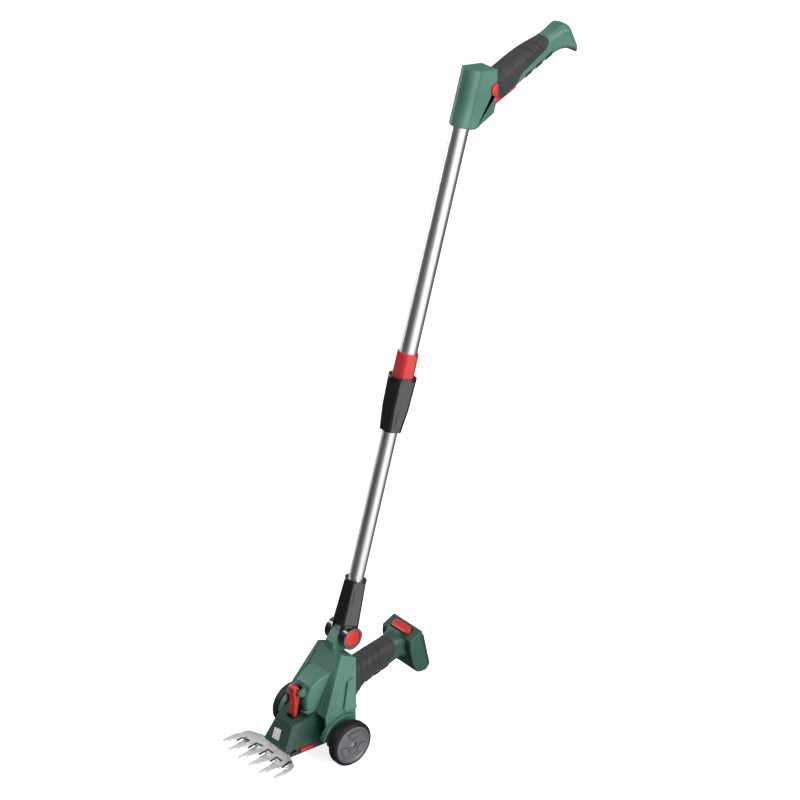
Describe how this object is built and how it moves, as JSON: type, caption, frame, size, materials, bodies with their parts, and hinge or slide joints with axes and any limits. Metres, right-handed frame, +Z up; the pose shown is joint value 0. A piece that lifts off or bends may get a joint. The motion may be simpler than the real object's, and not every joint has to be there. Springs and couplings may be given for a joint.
{
  "type": "cordless grass shears on a wheeled pole",
  "caption": "Cordless grass shears with a reciprocating toothed blade, clipped into a wheeled cradle on a telescopic pole with an upper trigger handle.",
  "frame": {"origin": "on the ground under the middle of the object's bounding box, with the wheels standing on the ground", "axes": "+Z up, -Y the way the cutting teeth point, +X from the left wheel to the right wheel as the user sees them from behind"},
  "size_m": [0.14, 0.5572, 0.94],
  "materials": {
    "green_plastic": "fine moulded texture, slight sheen",
    "rubber_black": "matt, fine grain",
    "tyre_rubber": "matt, fine tread",
    "gloss_black": "polished",
    "dark_plastic": "satin",
    "red_plastic": "satin",
    "aluminium_tube": "satin anodised",
    "blade_steel": "ground",
    "bright_steel": "bright",
    "gear_steel": "oiled",
    "contact_brass": "bright",
    "board_laminate": "lacquered"
  },
  "bodies": {
    "handle": {"upper_tube": "aluminium_tube", "clamp_collar": "red_plastic", "clamp_collet": "dark_plastic", "handle_shell_left": "green_plastic", "handle_shell_right": "green_plastic", "handle_grip_pad": "rubber_black", "handle_underside_pads": "rubber_black", "handle_screws": "bright_steel", "handle_trigger_pin": "bright_steel", "handle_switch": "dark_plastic"},
    "clamp_nut": {"clamp_nut": "gloss_black"},
    "lower_pole": {"lower_tube": "aluminium_tube", "tube_guide_bush": "dark_plastic", "knuckle": "gloss_black", "tube_screws": "bright_steel", "tilt_pin": "bright_steel", "tilt_button_springs": "bright_steel"},
    "tilt_button_right": {"tilt_button_right": "red_plastic"},
    "tilt_button_left": {"tilt_button_left": "red_plastic"},
    "head": {"cradle_frame": "green_plastic", "cradle_side_right": "green_plastic", "cradle_side_left": "green_plastic", "latch_pin": "bright_steel", "wheel_axles": "bright_steel", "axle_clips": "bright_steel", "fixed_blade": "blade_steel", "blade_pivot_pin": "bright_steel", "gear_head_cover": "green_plastic", "gear_head_base": "dark_plastic", "gear_axle": "bright_steel", "motor": "bright_steel", "tool_shell_left": "green_plastic", "tool_shell_right": "green_plastic", "tool_grip_pad": "rubber_black", "tool_underside_pads": "rubber_black", "tool_screws": "bright_steel", "tool_trigger_pin": "bright_steel", "tool_switch": "dark_plastic", "circuit_board": "board_laminate", "battery_rails": "dark_plastic", "battery_contacts": "contact_brass"},
    "wheel_right": {"wheel_tyre_right": "tyre_rubber", "wheel_disc_right": "dark_plastic"},
    "wheel_left": {"wheel_tyre_left": "tyre_rubber", "wheel_disc_left": "dark_plastic"},
    "latch_lever": {"latch_lever": "red_plastic"},
    "moving_blade": {"moving_blade": "blade_steel"},
    "drive_gear": {"drive_gear": "gear_steel"},
    "motor_pinion": {"motor_pinion": "bright_steel"},
    "blade_release_right": {"blade_release_right": "red_plastic"},
    "blade_release_left": {"blade_release_left": "red_plastic"},
    "tool_trigger": {"tool_trigger": "red_plastic"},
    "tool_lock_button": {"tool_lock_button": "red_plastic"},
    "battery_release": {"battery_release": "red_plastic"},
    "handle_trigger": {"handle_trigger": "red_plastic"},
    "handle_lock_button": {"handle_lock_button": "red_plastic"}
  },
  "joints": [
    {"name": "pole_length", "type": "slide", "parent": "handle", "child": "lower_pole", "axis": [0, 0.279, 0.9603], "range_m": [-0.11, 0.19]},
    {"name": "clamp_turn", "type": "hinge", "parent": "handle", "child": "clamp_nut", "pos_m": [0, -0.01628, 0.4764], "axis": [0, 0.279, 0.9603], "range_deg": [0, 90]},
    {"name": "head_tilt", "type": "hinge", "parent": "lower_pole", "child": "head", "pos_m": [0, -0.10835, 0.1595], "axis": [1, 0, 0], "range_deg": [-15, 60]},
    {"name": "tilt_button_right_press", "type": "slide", "parent": "lower_pole", "child": "tilt_button_right", "axis": [-1, 0, 0], "range_m": [0, 0.002], "stiffness_N_per_m": 400, "springref_m": -0.002},
    {"name": "tilt_button_left_press", "type": "slide", "parent": "lower_pole", "child": "tilt_button_left", "axis": [1, 0, 0], "range_m": [0, 0.002], "stiffness_N_per_m": 400, "springref_m": -0.002},
    {"name": "wheel_right_spin", "type": "hinge", "parent": "head", "child": "wheel_right", "pos_m": [0.062, -0.14765, 0.032], "axis": [1, 0, 0], "continuous": true},
    {"name": "wheel_left_spin", "type": "hinge", "parent": "head", "child": "wheel_left", "pos_m": [-0.062, -0.14765, 0.032], "axis": [1, 0, 0], "continuous": true},
    {"name": "latch_swing", "type": "hinge", "parent": "head", "child": "latch_lever", "pos_m": [0, -0.19015, 0.1], "axis": [1, 0, 0], "range_deg": [-40, 0]},
    {"name": "blade_swing", "type": "hinge", "parent": "head", "child": "moving_blade", "pos_m": [0, -0.19765, 0.029], "axis": [0, 0, 1], "range_deg": [-1.9, 8.5]},
    {"name": "gear_spin", "type": "hinge", "parent": "head", "child": "drive_gear", "pos_m": [0, -0.17765, 0.036], "axis": [0, 0, 1], "continuous": true},
    {"name": "pinion_spin", "type": "hinge", "parent": "head", "child": "motor_pinion", "pos_m": [0, -0.14955, 0.036], "axis": [0, 0, 1], "continuous": true},
    {"name": "blade_release_right_press", "type": "slide", "parent": "head", "child": "blade_release_right", "axis": [-1, 0, 0], "range_m": [0, 0.002], "stiffness_N_per_m": 400, "springref_m": -0.002},
    {"name": "blade_release_left_press", "type": "slide", "parent": "head", "child": "blade_release_left", "axis": [1, 0, 0], "range_m": [0, 0.002], "stiffness_N_per_m": 400, "springref_m": -0.002},
    {"name": "tool_trigger_pull", "type": "hinge", "parent": "head", "child": "tool_trigger", "pos_m": [0, -0.10015, 0.0765], "axis": [1, 0, 0], "range_deg": [0, 6], "stiffness_Nm_per_rad": 0.4, "springref_deg": -11.46},
    {"name": "tool_lock_push", "type": "slide", "parent": "head", "child": "tool_lock_button", "axis": [1, 0, 0], "range_m": [-0.0025, 0.0025], "stiffness_N_per_m": 300},
    {"name": "battery_release_press", "type": "slide", "parent": "head", "child": "battery_release", "axis": [0, 0.4019, -0.9157], "range_m": [0, 0.0025], "stiffness_N_per_m": 400, "springref_m": -0.002},
    {"name": "handle_trigger_pull", "type": "hinge", "parent": "handle", "child": "handle_trigger", "pos_m": [0, 0.13957, 0.86588], "axis": [1, 0, 0], "range_deg": [0, 6], "stiffness_Nm_per_rad": 0.4, "springref_deg": -11.46},
    {"name": "handle_lock_push", "type": "slide", "parent": "handle", "child": "handle_lock_button", "axis": [1, 0, 0], "range_m": [-0.0025, 0.0025], "stiffness_N_per_m": 300}
  ],
  "couplings": [
    {"joint": "pinion_spin", "follows": "gear_spin", "ratio": -3.6667}
  ]
}
